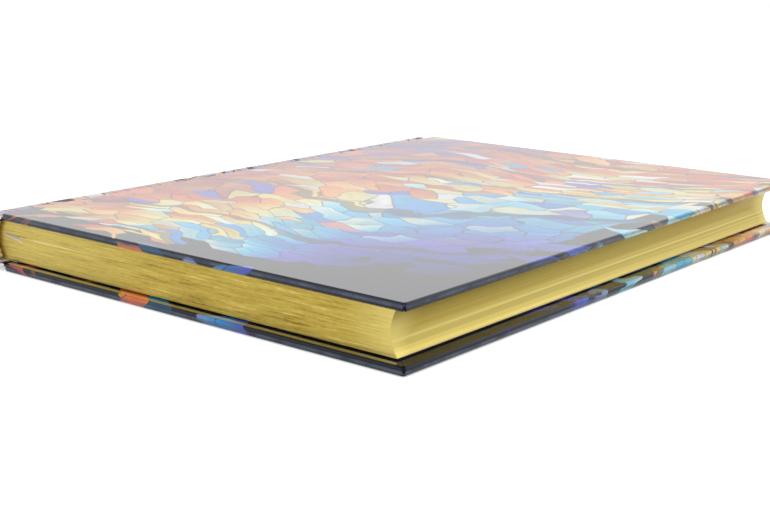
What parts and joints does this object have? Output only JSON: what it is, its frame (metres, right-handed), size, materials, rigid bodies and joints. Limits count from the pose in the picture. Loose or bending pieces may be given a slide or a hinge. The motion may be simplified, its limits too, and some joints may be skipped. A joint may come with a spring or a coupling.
{
  "type": "journal",
  "caption": "Hardcover journal with a printed laminated case, gilt leaves, headband, tailband and ribbon marker; both covers open.",
  "frame": {"origin": "on the surface the closed book lies on, under the middle of its footprint", "axes": "+X from the spine to the fore-edge, +Y from the tail to the head, +Z from the back cover to the front cover"},
  "size_m": [0.1614, 0.2112, 0.0177],
  "materials": {
    "printed_wrap": "printed paper under a satin film, navy with coloured glass-like pieces",
    "greyboard": "plain grey board, hidden under the wrap",
    "gilt_leaves": "cream leaves with gilt edges",
    "endpaper": "plain cream paper",
    "lining_cloth": "open cotton cloth set in glue",
    "band_thread": "woven cotton band",
    "ribbon_satin": "narrow cream satin ribbon"
  },
  "bodies": {
    "book": {"text_block": "gilt_leaves", "front_flyleaf": "endpaper", "back_flyleaf": "endpaper", "spine_lining": "lining_cloth", "headband": "band_thread", "tailband": "band_thread", "ribbon_marker": "ribbon_satin", "spine_inlay": "greyboard", "spine_wrap": "printed_wrap"},
    "front_cover": {"front_board": "greyboard", "front_cover_wrap": "printed_wrap", "front_pastedown": "endpaper"},
    "back_cover": {"back_board": "greyboard", "back_cover_wrap": "printed_wrap", "back_pastedown": "endpaper"}
  },
  "joints": [
    {"name": "front_joint", "type": "hinge", "parent": "book", "child": "front_cover", "pos_m": [-0.07615, 0, 0.01528], "axis": [0, -1, 0], "range_deg": [0, 180]},
    {"name": "back_joint", "type": "hinge", "parent": "book", "child": "back_cover", "pos_m": [-0.07615, 0, 0.00243], "axis": [0, 1, 0], "range_deg": [0, 180]}
  ]
}
